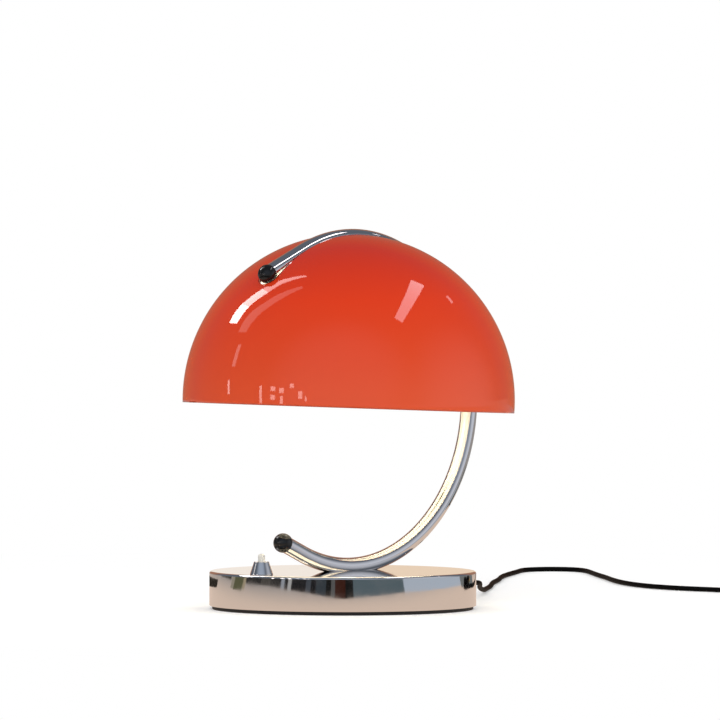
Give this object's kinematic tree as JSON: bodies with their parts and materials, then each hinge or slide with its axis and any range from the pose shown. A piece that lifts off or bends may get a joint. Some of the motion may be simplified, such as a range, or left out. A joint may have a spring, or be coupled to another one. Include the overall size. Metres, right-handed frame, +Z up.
{
  "type": "mushroom table lamp",
  "caption": "Table lamp: round chromed base, C-shaped chromed tube, glossy red hemispherical shade that slides along the tube in a slot, push switch and mains cord.",
  "frame": {"origin": "centre of the foot pad's lower face, on the table", "axes": "+Z up; the arc of the tube lies in the XZ plane with its open mouth towards -X; +Y is to the left of someone who stands at the switch and looks along +X"},
  "size_m": [0.7803, 0.5283, 0.3417],
  "materials": {
    "chrome": "polished chromed metal",
    "shade_red": "glossy moulded acrylic",
    "ball_black": "glossy black",
    "pad_black": "matt black rubber",
    "button_ivory": "satin ivory",
    "cast_iron": "rough cast",
    "steel": "zinc plated",
    "brass": "turned brass",
    "holder_black": "moulded black",
    "ceramic": "glazed white",
    "bulb_glass": "opal glass",
    "nylon": "natural nylon",
    "cord_black": "black flexible sheath",
    "block_white": "moulded"
  },
  "bodies": {
    "lamp": {"arc_tube": "chrome", "base_cover": "chrome", "base_plate": "steel", "base_screws": "steel", "base_weight": "cast_iron", "bulb_cap": "brass", "bulb_glass": "bulb_glass", "bulb_tip": "brass", "clamp_screws": "steel", "clamp_washers": "steel", "cord": "cord_black", "cord_coil": "cord_black", "cord_gland": "cord_black", "cover_nuts": "steel", "foot_pad": "pad_black", "gland_nut": "holder_black", "holder_cap": "holder_black", "holder_contact": "brass", "holder_core": "ceramic", "holder_sleeve": "holder_black", "inner_lead": "cord_black", "lower_ball": "ball_black", "mains_tail": "cord_black", "nipple": "brass", "nipple_boss": "chrome", "nipple_nut": "brass", "plug_body": "cord_black", "plug_pins": "brass", "saddle_screws": "steel", "switch_collar": "chrome", "switch_housing": "holder_black", "switch_lead": "cord_black", "switch_nut": "brass", "switch_spring": "steel", "terminal_block": "block_white", "terminal_screws": "brass", "tube_nuts": "steel", "tube_saddle": "steel", "upper_ball": "ball_black"},
    "shade": {"shade": "shade_red", "front_runner": "nylon", "rear_runner": "nylon", "friction_shoes": "nylon", "grub_screws": "steel"},
    "button": {"switch_button": "button_ivory"}
  },
  "joints": [
    {"name": "shade_tilt", "type": "hinge", "parent": "lamp", "child": "shade", "pos_m": [0.0097, 0, 0.1863], "axis": [0, 1, 0], "range_deg": [-12, 0]},
    {"name": "switch_press", "type": "slide", "parent": "lamp", "child": "button", "axis": [0, 0, -1], "range_m": [0, 0.0025], "stiffness_N_per_m": 400, "springref_m": -0.002, "deforming": ["switch_spring"]}
  ]
}
